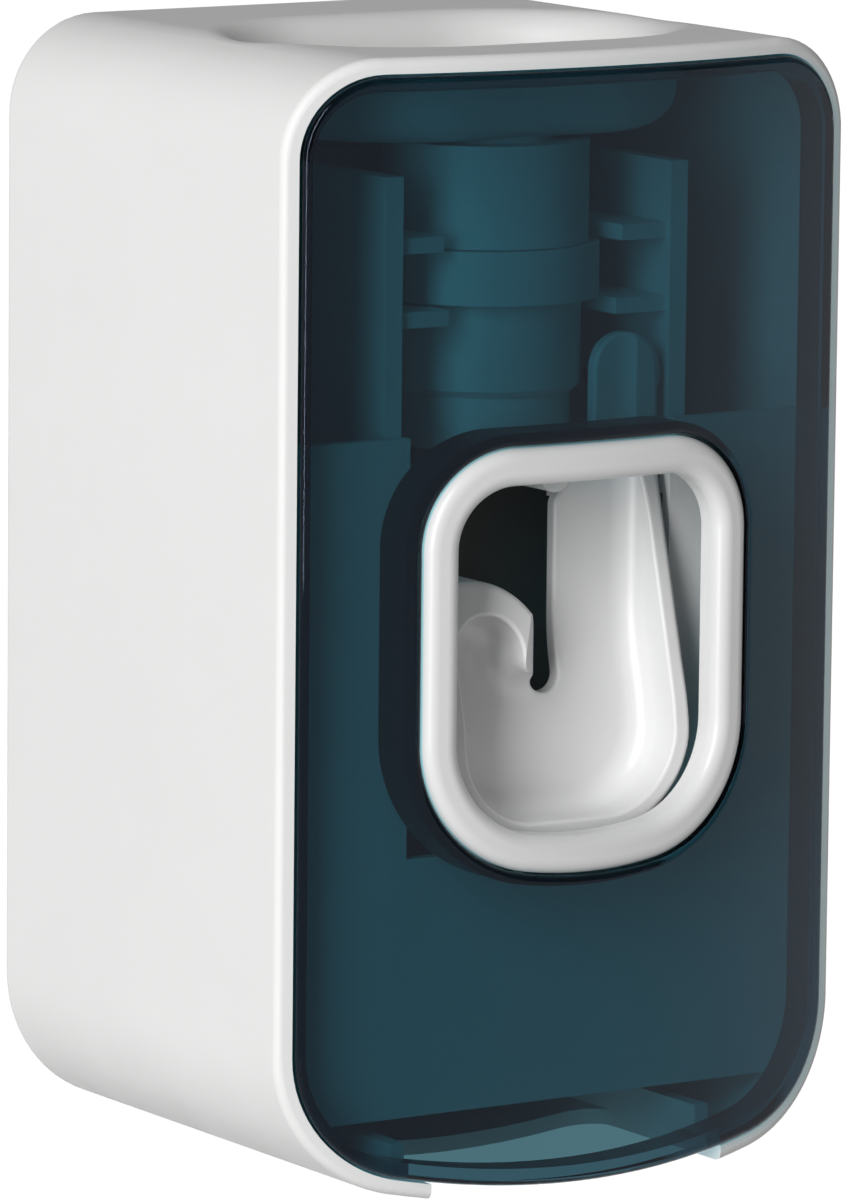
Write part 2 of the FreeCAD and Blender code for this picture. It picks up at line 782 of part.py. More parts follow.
# Pump chassis: back plate, two cheeks and two shelves that hold the pump's collar.
def chassis():
    outer = s.cheek_inside + s.cheek_wall
    high = head_top - s.chassis_drop
    span = (chassis_low, high)
    plate_y = (-back_reach - s.shelf_thickness, -back_reach)
    pieces = [box("ChassisBack", (-outer, outer), plate_y, span)]
    pieces.append(box("CheekLeft", (-outer, -s.cheek_inside), (-cheek_reach, -back_reach), span))
    pieces.append(box("CheekRight", (s.cheek_inside, outer), (-cheek_reach, -back_reach), span))
    upper = collar_top + s.shelf_gap
    lower = collar_low - s.shelf_gap - s.shelf_thickness
    shelf_y = (-cheek_reach + s.shelf_thickness / 2, -back_reach)
    holes = []
    for name, low, radius in (("Upper", upper, s.head_radius), ("Lower", lower, s.barrel_radius)):
        reach = radius + s.slot_gap
        deep = (low - s.overcut, low + s.shelf_thickness + s.overcut)
        pieces.append(box(f"{name}Shelf", (-outer, outer), shelf_y, (low, low + s.shelf_thickness)))
        holes.append(rod(f"{name}Seat", "Z", reach, (0, -pump_reach, deep[0]), deep[1] - deep[0]))
        holes.append(box(f"{name}Mouth", (-reach, reach), (-FAR, -pump_reach), deep))
    for side in (-1, 1):
        for level, z in enumerate(chassis_screw_z):
            word = "Left" if side < 0 else "Right"
            at = (chassis_screw_x * side, plate_y[0] - s.overcut, z)
            run = s.shelf_thickness + s.overcut * 2
            holes.append(rod(f"BackHole{word}{level}", "Y", s.screw_radius + s.fit_gap, at, run))
    pin_at = (s.cheek_inside - s.overcut, -pivot_reach, pivot_z)
    holes.append(rod("PinHole", "X", s.pin_radius + s.fit_gap, pin_at, s.cheek_wall + s.overcut * 2))
    node("pump_chassis", cut("Chassis", fuse("ChassisBlank", pieces), holes))
    screws = []
    seat = back_reach + s.shelf_thickness
    for side in (-1, 1):
        for level, z in enumerate(chassis_screw_z):
            word = "Left" if side < 0 else "Right"
            screws.append(screw(f"ChassisScrew{word}{level}", chassis_screw_x * side, seat, z))
    group("chassis_screws", screws)


# Inner panels: the white guard, held between the side bosses and the cover's skirt, and the dark panel.
def panels():
    outline = shield("GuardFront", *body_outline, s.wall + s.cover_gap)
    front = -guard_reach - s.guard_thickness
    sheet_face = forward("GuardSheet", outline, guard_reach, guard_reach + s.guard_thickness)
    belt = box("GuardBelt", (-half, half), (front, -guard_reach), (guard_low, guard_top))
    window = box(
        "GuardWindow",
        (-s.guard_opening, s.guard_opening),
        (front - s.wall, -guard_reach + s.wall),
        (guard_sill, guard_top + s.wall),
    )
    node("splash_guard", cut("Guard", common("GuardBlank", [sheet_face, belt]), [window]))
    across = panel_half
    face = -panel_reach - s.panel_thickness
    blank = box("PanelBlank", (-across, across), (face, -panel_reach), (panel_low, panel_top))
    holes = []
    for side in (-1, 1):
        word = "Left" if side < 0 else "Right"
        at = (panel_screw_x * side, face - s.overcut, panel_screw_z)
        run = s.panel_thickness + s.overcut * 2
        holes.append(rod(f"PanelHole{word}", "Y", s.screw_radius + s.fit_gap, at, run))
    node("rear_panel", cut("Panel", blank, holes))
    reach = panel_reach + s.panel_thickness
    screws = []
    for side, word in ((-1, "Left"), (1, "Right")):
        screws.append(screw(f"PanelScrew{word}", panel_screw_x * side, reach, panel_screw_z))
    group("panel_screws", screws)


# Pump: turned parts on one upright axis.
def pump():
    seat = head_top - s.socket_flange_height - s.fit_gap
    spigot = bore_radius - s.fit_gap
    low = collar_top - s.spigot_length
    up = collar_top - low
    flange = s.socket_flange + s.fit_gap
    valve_seat = s.valve_thickness + s.fit_gap * 2
    valve_hole = s.throat_radius + s.valve_seat
    turned(
        "pump_head",
        [
            (valve_hole, 0),
            (spigot, 0),
            (spigot, up),
            (s.head_radius, up),
            (s.head_radius, head_top - low),
            (flange, head_top - low),
            (flange, seat - low),
            (s.throat_radius, seat - low),
            (s.throat_radius, valve_seat),
            (valve_hole, valve_seat),
        ],
        low,
    )
    lip = valve_hole - s.fit_gap
    turned(
        "inlet_valve",
        [
            (0, 0),
            (s.valve_stem, 0),
            (lip * 0.6, s.valve_thickness * 0.5),
            (lip, 0),
            (lip, s.valve_thickness),
            (0, s.valve_thickness),
        ],
        low + s.fit_gap,
    )
    inside = s.barrel_radius + s.fit_gap
    deep = s.collar_height - s.collar_play * 2
    turned(
        "pump_collar",
        [(inside, 0), (s.collar_radius, 0), (s.collar_radius, deep), (inside, deep)],
        collar_low + s.collar_play,
    )
    tall = s.barrel_drop + s.collar_height - s.collar_play * 3
    turned(
        "pump_barrel",
        [
            (bore_radius, 0),
            (s.barrel_radius - s.barrel_chamfer, 0),
            (s.barrel_radius, s.barrel_chamfer),
            (s.barrel_radius, tall),
            (bore_radius, tall),
        ],
        barrel_low,
    )
    groove = plunger_radius - s.seal_width / 2
    groove_low = plunger_height - s.seal_width - s.seal_drop
    hollow = plunger_radius - s.plunger_wall
    hole = s.spout_stem + s.fit_gap
    turned(
        "plunger",
        [
            (hole, 0),
            (plunger_radius - s.plunger_chamfer, 0),
            (plunger_radius, s.plunger_chamfer),
            (plunger_radius, groove_low),
            (groove, groove_low),
            (groove, groove_low + s.seal_width),
            (plunger_radius, groove_low + s.seal_width),
            (plunger_radius, plunger_height),
            (hollow, plunger_height),
            (hollow, s.plunger_wall),
            (hole, s.plunger_wall),
        ],
        plunger_low,
    )
    gap = s.fit_gap
    turned(
        "piston_seal",
        [
            (groove + gap, gap),
            (plunger_radius + gap / 2, gap),
            (plunger_radius + gap / 2, s.seal_width - gap),
            (groove + gap, s.seal_width - gap),
        ],
        plunger_low + groove_low,
    )
    rise = bowl_under + s.wall + s.socket_rise - seat
    turned(
        "tube_socket",
        [
            (s.socket_bore - s.socket_step, 0),
            (s.socket_flange, 0),
            (s.socket_flange, s.socket_flange_height),
            (s.socket_radius, s.socket_flange_height),
            (s.socket_radius, rise - s.socket_chamfer),
            (s.socket_radius - s.socket_chamfer, rise),
            (s.socket_bore, rise),
            (s.socket_bore, rise - s.socket_grip),
            (s.socket_bore - s.socket_step, rise - s.socket_grip),
        ],
        seat + gap / 2,
    )


# Spout: an elbow under the plunger that brings the paste out over the brush, with a slit outlet valve.
def spout():
    level = plunger_low - s.spout_radius - s.fit_gap * 2
    low = level - s.spout_radius - s.spout_foot
    neck_end = spout_reach - s.outlet_length
    neck = s.spout_radius - s.spout_step
    axis_y = -pump_reach
    mouth = (0, -spout_reach - s.overcut, level)
    pieces = [
        rod("SpoutTube", "Y", s.spout_radius, (0, -neck_end, level), neck_end - pump_reach),
        rod("SpoutNeck", "Y", neck, (0, -spout_reach, level), s.outlet_length + s.overcut),
        rod("SpoutRoot", "Z", s.spout_root, (0, axis_y, low), plunger_low - s.fit_gap - low),
        rod("SpoutStem", "Z", s.spout_stem, (0, axis_y, level), plunger_low + s.plunger_wall - level),
    ]
    holes = [
        rod("SpoutWell", "Z", s.spout_bore, (0, axis_y, level), s.plunger_drop),
        rod("SpoutBore", "Y", s.spout_bore, mouth, spout_reach - pump_reach + s.overcut),
    ]
    node("spout", cut("Spout", fuse("SpoutBlank", pieces), holes))
    front = -spout_reach - s.fit_gap - s.outlet_lip
    cap = rod("OutletCap", "Y", s.spout_radius, (0, front, level), s.outlet_length + s.outlet_lip)
    socket_at = (0, -spout_reach - s.fit_gap, level)
    socket = rod("OutletSocket", "Y", neck + s.fit_gap, socket_at, s.outlet_length + s.overcut)
    slit_half, slit_high = s.slit_length / 2, s.slit_width / 2
    slit_deep = (front - s.overcut, -spout_reach)
    slit = box("OutletSlit", (-slit_half, slit_half), slit_deep, (level - slit_high, level + slit_high))
    node("outlet_valve", cut("Outlet", cap, [socket, slit]))


# Return spring: one unbroken wire on quarter-turn arcs.
def spring():
    wire = s.spring_wire.value / 2
    radius = s.spring_radius.value
    low = plunger_low.value + s.plunger_wall.value + s.fit_gap.value + wire
    high = (collar_top - s.spigot_length).value - s.fit_gap.value - wire
    quarters = int(round(s.spring_turns.value * 4))
    pitch = (high - low) / quarters

    def at(quarter):
        angle = quarter * math.pi / 2
        depth = radius * math.sin(angle) - pump_reach.value
        return V(radius * math.cos(angle), depth, low + pitch * quarter)

    arcs = [Part.Arc(at(q), at(q + 0.5), at(q + 1)).toShape() for q in range(quarters)]
    path = Part.Wire(arcs)
    section = Part.Wire([Part.Circle(at(0), V(0, radius * math.pi / 2, pitch), wire).toShape()])
    print("spring gap between turns", round(pitch * 4 - 2 * wire, 2))
    made = doc.addObject("Part::Feature", "ReturnSpring")
    coil = path.makePipeShell([section], True, False).Solids[0]
    if coil.isInside(V(0, 0, 0), 0.001, False):
        coil.reverse()
    made.Shape = coil
    node("plunger_spring", made)


def traced(corners, put):
    """A closed wire through corners (u, v, round), each with its own radius; put places (u, v) in space."""
    turns = []
    for i, (u, v, radius) in enumerate(corners):
        here = V(u, v, 0)
        back = (V(*corners[i - 1][:2], 0) - here).normalize()
        ahead = (V(*corners[(i + 1) % len(corners)][:2], 0) - here).normalize()
        opening = back.getAngle(ahead) / 2
        reach = radius / math.tan(opening)
        middle = here + (back + ahead).normalize() * (radius / math.sin(opening) - radius)
        turns.append((here + back * reach, middle, here + ahead * reach))
    edges = []
    for i, (start, middle, end) in enumerate(turns):
        if corners[i][2]:
            edges.append(Part.Arc(put(start), put(middle), put(end)).toShape())
        following = turns[(i + 1) % len(turns)][0]
        if following.distanceToPoint(end) > 0.001:
            edges.append(Part.makeLine(put(end), put(following)))
    return Part.Wire(edges)


def sharpness(shape, edge, spot):
    """The angle in degrees between the two faces that meet at a spot on an edge; 0 on a seam."""
    normals = []
    for face in shape.ancestorsOfType(edge, Part.Face):
        normals.append(face.normalAt(*face.Surface.parameter(spot)))
    return math.degrees(normals[0].getAngle(normals[-1]))


# Trigger: the dished paddle with its slot, short left shoulder, tall right arm and pivot boss.
def trigger():
    across, corner = s.paddle_width.value / 2, s.paddle_corner.value
    low = paddle_low.value
    slot_left = (s.slot_offset - s.slot_width / 2).value
    slot_right = (s.slot_offset + s.slot_width / 2).value
    slot_middle = s.slot_offset.value
    slot_low = low + s.slot_rise.value
    slot_round = s.slot_width.value / 2
    shoulder = low + s.shoulder_rise.value
    tip = s.tip_radius.value
    tip_left = across - tip * 2
    tip_top = pivot_z.value + s.tip_rise.value + tip
    neck_high = plunger_low.value - s.fit_gap.value * 10
    neck_low = neck_high - s.neck_drop.value
    lean = math.tan(math.radians(s.paddle_lean.value))
    bend = low + s.bend_rise.value
    above, below = tip_top + s.wall.value, low - s.wall.value
    front, arm = paddle_reach.value, arm_reach.value

    def pushed(corners):
        """A prism of a front outline, right through the housing's depth."""
        face = Part.Face(traced(corners, lambda p: V(p.x, -FAR.value, p.y)))
        return face.extrude(V(0, FAR.value, 0))

    def side(corners):
        """A prism of a side outline, right across the paddle."""
        width = across + s.wall.value
        face = Part.Face(traced(corners, lambda p: V(-width, -p.x, p.y)))
        return face.extrude(V(width * 2, 0, 0))

    def leaning(near, far):
        """The line of a surface from below: upright, leaning back, upright again."""
        bent = s.bend_round.value
        knee = bend + (near - far) / lean
        return [(near, below, 0), (near, bend, bent), (far, knee, bent), (far, above, 0)]

    outline = [
        (-across, low, corner),
        (across, low, corner),
        (across, tip_top, tip),
        (tip_left, tip_top, tip),
        (tip_left, neck_high, s.shoulder_corner.value),
        (slot_right, neck_low, s.shoulder_corner.value),
        (slot_right, slot_low, slot_round),
        (slot_left, slot_low, slot_round),
        (slot_left, shoulder, s.shoulder_round.value),
        (-across, shoulder, s.shoulder_corner.value),
    ]
    front_line = leaning(front, arm)
    rear_line = leaning(front - s.paddle_thickness.value, arm - s.arm_thickness.value)
    plate = pushed(outline).common(side(front_line + rear_line[::-1]))

    def on_front(point):
        """Whether a point lies on the leaning front, within what its round bends cut off."""
        line = max(arm, min(front, front - (point.z - bend) * lean))
        return abs(point.y + line) < s.bend_round.value / 80

    def rim_edges(shape):
        """Sharp edges that lie on the front all along."""
        found = []
        for edge in shape.Edges:
            first, last = edge.FirstParameter, edge.LastParameter
            spots = [edge.valueAt(first + (last - first) * share) for share in (0, 0.5, 1)]
            if all(on_front(spot) for spot in spots) and sharpness(shape, edge, spots[1]) > 20:
                found.append(edge)
        return found

    plate = plate.makeFillet(s.rim_soft.value, rim_edges(plate))

    lip = s.trough_lip.value
    within, inner = across - lip, corner - lip
    band = s.shoulder_band.value
    band_low = shoulder - band
    band_end = shoulder - s.shoulder_round.value - s.band_taper.value
    trough = [
        (-within, low + lip, inner),
        (within, low + lip, inner),
        (within, above, 0),
        (slot_middle, above, 0),
        (slot_middle, band_end, band / 2),
        (slot_left - band, band_end, band / 2),
        (slot_left - band, band_low, s.trough_corner.value),
        (-within, band_low, s.trough_corner.value),
    ]
    floor = front - s.trough_depth.value
    floor_line = leaning(floor, arm - s.arm_dish.value)
    dish = pushed(trough).common(side(floor_line + [(FAR.value, above, 0), (FAR.value, below, 0)]))

    def floor_edge(edge):
        """Edges where the dish's floor meets its walls; the top end stays open."""
        b = edge.BoundBox
        at_end = any(abs(b.ZMin - end) < 0.01 for end in (low + lip, band_low, band_end))
        level = b.ZLength < 0.01
        on_floor = b.YMin > -floor - 0.01
        return on_floor and (at_end or not level)

    dish = dish.makeFillet(s.trough_round.value, [edge for edge in dish.Edges if floor_edge(edge)])
    # The shoulder rolls down to the floor beside the slot, on an arc that starts level with its front.
    roll_start = slot_left - s.roll_width.value
    roll_radius = (s.roll_width.squared() + s.trough_depth.squared()).value / s.trough_depth.value / 2
    roll_turn = math.asin(s.roll_width.value / roll_radius) / 2
    middle_x = roll_start + roll_radius * math.sin(roll_turn)
    middle_y = front - roll_radius * (1 - math.cos(roll_turn))

    def at_slot(x, reach):
        """A point of the roll's plan, level with the slot's lower end."""
        return V(x, -reach, slot_low)

    arc = Part.Arc(at_slot(roll_start, front), at_slot(middle_x, middle_y), at_slot(slot_left, floor))
    corners = [(slot_left, floor), (slot_middle, floor), (slot_middle, FAR.value), (roll_start, FAR.value)]
    plan = [at_slot(*spot) for spot in corners] + [at_slot(roll_start, front)]
    roll_wire = Part.Wire([arc.toShape()] + Part.makePolygon(plan).Edges)
    roll = Part.Face(roll_wire).extrude(V(0, 0, above - slot_low))
    plate = plate.cut(dish).removeSplitter()
    plate = plate.makeFillet(s.lip_soft.value, rim_edges(plate))
    plate = plate.cut(roll).removeSplitter()
    bore = (s.pin_radius + s.fit_gap + s.bush_wall + s.fit_gap / 2).value
    boss_x = (s.cheek_inside - s.boss_gap - s.boss_length).value
    centre = V(boss_x, -pivot_reach.value, pivot_z.value)
    boss = Part.makeCylinder(bore + s.boss_wall.value, s.boss_length.value, centre, V(1, 0, 0))
    hole_start = centre - V(s.boss_length.value / 2, 0, 0)
    hole = Part.makeCylinder(bore, s.boss_length.value * 2, hole_start, V(1, 0, 0))
    made = doc.addObject("Part::Feature", "Paddle")
    made.Shape = plate.fuse(boss).cut(hole).removeSplitter().Solids[0]
    node("trigger_paddle", made)


# Pivot: pin through the right cheek, bush in the trigger, retaining ring on the pin's inner end.
def pivot():
    boss_x = s.cheek_inside - s.boss_gap - s.boss_length
    at = (boss_x, -pivot_reach, pivot_z)
    outer = s.pin_radius + s.fit_gap + s.bush_wall
    sleeve = rod("BushOuter", "X", outer, at, s.boss_length)
    bore = rod("BushBore", "X", s.pin_radius + s.fit_gap, at, s.boss_length)
    node("pivot_bush", cut("Bush", sleeve, [bore]))
    start = boss_x - s.pin_tail
    end = s.cheek_inside + s.cheek_wall + s.fit_gap
    shank = rod("PinShank", "X", s.pin_radius, (start, -pivot_reach, pivot_z), end - start + s.pin_end)
    head = rod("PinHead", "X", s.pin_radius + s.pin_head, (end, -pivot_reach, pivot_z), s.pin_head)
    node("pivot_pin", fuse("Pin", [shank, head]))
    at = (boss_x - s.retainer_gap - s.retainer_thickness, -pivot_reach, pivot_z)
    disc = rod("RetainerDisc", "X", s.pin_radius + s.retainer_lip, at, s.retainer_thickness)
    hole = rod("RetainerHole", "X", s.pin_radius + s.fit_gap / 2, at, s.retainer_thickness)
    node("pin_retainer", cut("Retainer", disc, [hole]))


# Lift finger: screwed to the back of the trigger's arm, it reaches under the plunger beside the spout.
def lifter():
    upper = plunger_low - s.finger_gap
    lower = upper - s.finger_height
    rear = -(arm_reach - s.arm_thickness) + s.fit_gap / 2
    bar = (rear, rear + s.finger_plate)
    right = s.paddle_width / 2 - s.finger_margin
    inner = s.finger_offset - s.finger_width / 2
    outer = s.finger_offset + s.finger_width / 2
    pieces = [
        box("FingerPlate", (inner, right), bar, (lower - s.finger_height * 1.2, upper)),
        box("Finger", (inner, outer), (rear, -finger_reach), (lower, upper)),
    ]
    screw_z = lower - s.finger_height * 0.2
    radius = s.screw_radius * 0.6
    holes, screws = [], []
    for i, x in enumerate((outer + s.finger_inset, right - s.finger_inset)):
        hole_at = (x, rear - s.overcut, screw_z)
        run = s.finger_plate + s.overcut * 2
        holes.append(rod(f"FingerHole{i}", "Y", radius + s.fit_gap, hole_at, run))
        head_at = (x, rear + s.finger_plate + s.fit_gap, screw_z)
        head = rod(f"FingerScrewHead{i}", "Y", radius * 1.8, head_at, s.finger_head)
        shank = rod(f"FingerScrewShank{i}", "Y", radius, (x, rear, screw_z), s.finger_plate + s.finger_bite)
        screws.append(fuse(f"FingerScrew{i}", [head, shank]))
    node("lift_finger", cut("LiftFinger", fuse("FingerBlank", pieces), holes))
    group("finger_screws", screws)


# Wall plate with two upward hooks, and its adhesive pad.
def wall_mount():
    wide, high = s.plate_width / 2, s.plate_height / 2
    rear, front = -s.pad_thickness, -plate_front
    blank = box("PlateBlank", (-wide, wide), (front, rear), (-high, high))

    def upright_corner(edge):
        b = edge.BoundBox
        return b.YLength > 0.01 and b.XLength < 0.01 and b.ZLength < 0.01

    plate = rounded("PlateCorners", blank, s.plate_corner, upright_corner)
    lip_rear = -recess_floor - s.wall - s.mount_gap
    lip_front = lip_rear - s.hook_thickness
    hook_top = s.hook_low + s.hook_thickness
    pieces = [plate]
    for side in (-1, 1):
        word = "Left" if side < 0 else "Right"
        x = s.hook_spacing / 2 * side
        span = (x - s.hook_width / 2, x + s.hook_width / 2)
        arm_y = (lip_front, front + s.plate_thickness / 2)
        pieces.append(box(f"HookArm{word}", span, arm_y, (s.hook_low, hook_top)))
        lip_z = (s.hook_low, hook_top + s.hook_lip)
        pieces.append(box(f"HookLip{word}", span, (lip_front, lip_rear), lip_z))
    node("wall_plate", fuse("Plate", pieces))
    wide, high = wide - s.pad_inset, high - s.pad_inset
    blank = box("PadBlank", (-wide, wide), (rear, 0), (-high, high))
    node("adhesive_pad", rounded("PadCorners", blank, s.plate_corner - s.pad_inset, upright_corner))


housing()
rear_cover()
cover()
sleeve()
ring()
chassis()
panels()
pump()
spout()
spring()
trigger()
pivot()
lifter()
wall_mount()
doc.recompute()

for thing in doc.Objects:
    if "Invalid" in thing.State or "Error" in thing.State:
        raise RuntimeError(f"{thing.Name} did not build: {thing.State}")
os.makedirs("parts", exist_ok=True)
for label, thing in finished.items():
    shape = thing.Shape
    if shape.isNull() or not shape.isValid() or not shape.Solids:
        raise RuntimeError(f"{label} is not a valid solid")
    shape.exportStep(f"parts/{label}.step")
    bounds = shape.BoundBox
    print(f"{label}: {len(shape.Solids)} solid, {shape.Volume:.0f} mm3,",
          f"X {bounds.XMin:.1f}..{bounds.XMax:.1f} Y {bounds.YMin:.1f}..{bounds.YMax:.1f}",
          f"Z {bounds.ZMin:.1f}..{bounds.ZMax:.1f}")
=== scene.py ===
# %% [markdown]
# A wall-hung toothpaste dispenser: a white moulded box with a well on top for the tube, a smoked cover in
# front, a bezel ring with a dished paddle behind it, and a small pump that shows through the cover.
# The frame already holds every piece at its real size and place, so this lesson gives the pieces their
# finish, and models again by hand the two that are too soft or too fine for the frame's solids.

# %% Load the frame
import json
import math

import bmesh
import bpy
from mathutils import Matrix, Quaternion, Vector


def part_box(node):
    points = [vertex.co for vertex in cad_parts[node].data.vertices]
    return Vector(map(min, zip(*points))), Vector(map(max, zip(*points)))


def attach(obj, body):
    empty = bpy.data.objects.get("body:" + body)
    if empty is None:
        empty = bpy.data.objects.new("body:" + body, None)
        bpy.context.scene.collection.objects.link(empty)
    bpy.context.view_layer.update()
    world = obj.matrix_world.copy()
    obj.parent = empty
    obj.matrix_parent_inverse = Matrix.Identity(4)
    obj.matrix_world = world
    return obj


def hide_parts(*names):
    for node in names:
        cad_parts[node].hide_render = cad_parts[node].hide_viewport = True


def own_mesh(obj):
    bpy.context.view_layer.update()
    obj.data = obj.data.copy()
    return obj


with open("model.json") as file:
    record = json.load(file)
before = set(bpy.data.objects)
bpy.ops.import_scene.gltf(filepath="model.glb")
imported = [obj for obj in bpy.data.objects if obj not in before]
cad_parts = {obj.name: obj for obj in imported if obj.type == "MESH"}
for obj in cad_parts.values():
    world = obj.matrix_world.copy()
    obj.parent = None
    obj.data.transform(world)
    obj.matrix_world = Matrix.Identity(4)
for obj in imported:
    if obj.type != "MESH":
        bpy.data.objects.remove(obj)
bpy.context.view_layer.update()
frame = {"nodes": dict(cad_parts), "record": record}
nodes = frame["nodes"]
MM = 0.001

# %% [markdown]
# The picture is looked at without any film curve, so that a colour on a material is the colour on screen.

# %% Show colours as they are written
scene = bpy.context.scene
scene.view_settings.view_transform = "Standard"
print("view transform:", scene.view_settings.view_transform)

# %% [markdown]
# The camera stands to the left of the dispenser and a little above it, far away behind a long lens, so
# that upright edges stay nearly parallel. A camera could be turned with angles, but aiming it at a point
# is easier to read: the direction to that point becomes its rotation, and a small roll is added.

# %% Aim the camera
CAMERA_PLACE = Vector((-617.5, -980.8, 176.9)) * MM
CAMERA_AIM = Vector((-3.26, -40.0, -0.71)) * MM
CAMERA_ROLL = math.radians(0.6)
FOCAL_LENGTH = 267.1
FILM_SIZE = 36.0
Z_AXIS = Vector((0, 0, 1))


def aimed(place, aim, roll=0.0):
    """The rotation that points an object's own -Z from place to aim."""
    turn = (aim - place).to_track_quat("-Z", "Y")
    return (turn @ Quaternion(Z_AXIS, roll)).to_euler()


camera_data = bpy.data.cameras.new("camera")
camera_data.lens = FOCAL_LENGTH
camera_data.sensor_width = FILM_SIZE
camera = bpy.data.objects.new("camera", camera_data)
camera.location = CAMERA_PLACE
camera.rotation_euler = aimed(CAMERA_PLACE, CAMERA_AIM, CAMERA_ROLL)
scene.collection.objects.link(camera)
scene.camera = camera
print("camera is", round((CAMERA_AIM - CAMERA_PLACE).length, 3), "m away")

# %% [markdown]
# Materials are small graphs. Every graph below starts from a Principled shader and a noise that reads
# Object coordinates, so a few helpers make the steps that all of them share: a new finish, a noise of a
# given grain size in metres, and a pair of tones or levels that the noise drifts between. A noise seldom
# leaves the middle of its range, so the pair is reached at NOISE_LOW and NOISE_HIGH.

# %% Helpers for finishes
NOISE_LOW = 0.3
NOISE_HIGH = 0.7
RELIEF_STRENGTH = 1.0


class Finish:
    """A node material under construction, with its Principled shader at hand."""

    def __init__(self, name):
        self.material = bpy.data.materials.new(name)
        self.material.use_nodes = True
        self.tree = self.material.node_tree
        self.shader = self.tree.nodes["Principled BSDF"]
        self.output = self.tree.nodes["Material Output"]
        self.place = self.add("ShaderNodeTexCoord").outputs["Object"]

    def add(self, kind, **settings):
        made = self.tree.nodes.new(kind)
        for key, value in settings.items():
            setattr(made, key, value)
        return made

    def join(self, source, target):
        self.tree.links.new(source, target)

    def set(self, **values):
        """Constants go straight on the shader's sockets; underscores in the names stand for spaces."""
        for key, value in values.items():
            self.shader.inputs[key.replace("_", " ")].default_value = value

    def stretched(self, scale):
        """Object coordinates, drawn out along an axis."""
        mapping = self.add("ShaderNodeMapping")
        mapping.inputs["Scale"].default_value = scale
        self.join(self.place, mapping.inputs["Vector"])
        return mapping.outputs["Vector"]

    def noise(self, grain, detail=2.0, place=None):
        """A noise whose lumps are about grain metres across."""
        made = self.add("ShaderNodeTexNoise")
        made.inputs["Scale"].default_value = 1 / grain
        made.inputs["Detail"].default_value = detail
        self.join(place or self.place, made.inputs["Vector"])
        return made.outputs["Fac"]

    def tones(self, source, dark, light):
        """A base colour that drifts from dark to light with source."""
        ramp = self.add("ShaderNodeValToRGB")
        ends = ((NOISE_LOW, dark), (NOISE_HIGH, light))
        for element, (position, tone) in zip(ramp.color_ramp.elements, ends):
            element.position = position
            element.color = (*tone, 1)
        self.join(source, ramp.inputs["Fac"])
        self.join(ramp.outputs["Color"], self.shader.inputs["Base Color"])

    def levels(self, source, low, high):
        """A roughness that drifts from low to high with source."""
        span = self.add("ShaderNodeMapRange")
        span.inputs["From Min"].default_value = NOISE_LOW
        span.inputs["From Max"].default_value = NOISE_HIGH
        span.inputs["To Min"].default_value = low
        span.inputs["To Max"].default_value = high
        self.join(source, span.inputs["Value"])
        self.join(span.outputs["Result"], self.shader.inputs["Roughness"])

    def relief(self, source, depth, under=None):
        """A bump of depth metres, laid over another one where under is given."""
        bump = self.add("ShaderNodeBump")
        bump.inputs["Strength"].default_value = RELIEF_STRENGTH
        bump.inputs["Distance"].default_value = depth
        self.join(source, bump.inputs["Height"])
        if under:
            self.join(under, bump.inputs["Normal"])
        self.join(bump.outputs["Normal"], self.shader.inputs["Normal"])
        return bump.outputs["Normal"]


finishes = {}
print("helpers ready")

# %% [markdown]
# Most of the dispenser is injection-moulded plastic. Its colour is very even, so what makes it look real
# is the surface: a spark-eroded mould leaves a fine grain, thick places sink by a few hundredths of a
# millimetre as they cool, and the gloss drifts a little from place to place. One function makes all the
# moulded finishes, and only the tone, the gloss and the grain differ.

# %% Moulded plastics
SINK_SIZE = 14 * MM
DRIFT_SIZE = 24 * MM
GLOSS_SIZE = 8 * MM


def moulded(name, tone, drift, gloss, grain, depth, sink):
    """Plastic from a mould: a tone that drifts, gloss as a pair of roughnesses, a grain of a size and a
    depth, and sinks of a depth, those three in millimetres."""
    finish = Finish(name)
    dark = [channel * (1 - drift) for channel in tone]
    finish.tones(finish.noise(DRIFT_SIZE), dark, tone)
    finish.levels(finish.noise(GLOSS_SIZE, detail=4), *gloss)
    sinks = finish.relief(finish.noise(SINK_SIZE, detail=0), sink * MM)
    finish.relief(finish.noise(grain * MM, detail=3), depth * MM, under=sinks)
    finishes[name] = finish.material


moulded(
    "housing_white", tone=(0.815, 0.815, 0.81), drift=0.015, gloss=(0.42, 0.52),
    grain=0.35, depth=0.004, sink=0.03,
)
moulded(
    "trim_white", tone=(0.765, 0.765, 0.765), drift=0.012, gloss=(0.28, 0.36),
    grain=0.3, depth=0.002, sink=0.02,
)
moulded(
    "inner_white", tone=(0.80, 0.805, 0.805), drift=0.03, gloss=(0.45, 0.58),
    grain=0.5, depth=0.006, sink=0.04,
)
# panel_grey: the dark grey panel behind the paddle is partly its own grey and partly painted shade for the
# shaded inside of the housing.
moulded(
    "panel_grey", tone=(0.23, 0.22, 0.215), drift=0.08, gloss=(0.5, 0.62),
    grain=0.4, depth=0.008, sink=0.03,
)
# sleeve_black: the sleeve's near black is painted shade, standing for the shadowed gap just inside the
# bezel's right edge.
moulded(
    "sleeve_black", tone=(0.02, 0.02, 0.024), drift=0.15, gloss=(0.35, 0.5),
    grain=0.4, depth=0.006, sink=0.03,
)
print("moulded finishes:", sorted(finishes))

# %% [markdown]
# The cover is smoked acrylic: clear right through, so the pump shows behind it, but it swallows most of
# the light, red more than blue, and thick places such as the skirt swallow nearly all of it. The shader
# is glass with a tint on its faces, and an absorbing volume darkens the long way through the skirt.
# Glass stops the light of lamps and sky from reaching what is behind it, so for the rays that carry that
# light, those that look for a lamp and those that bounce, the Light Path node puts a pale see-through
# shader in its place.

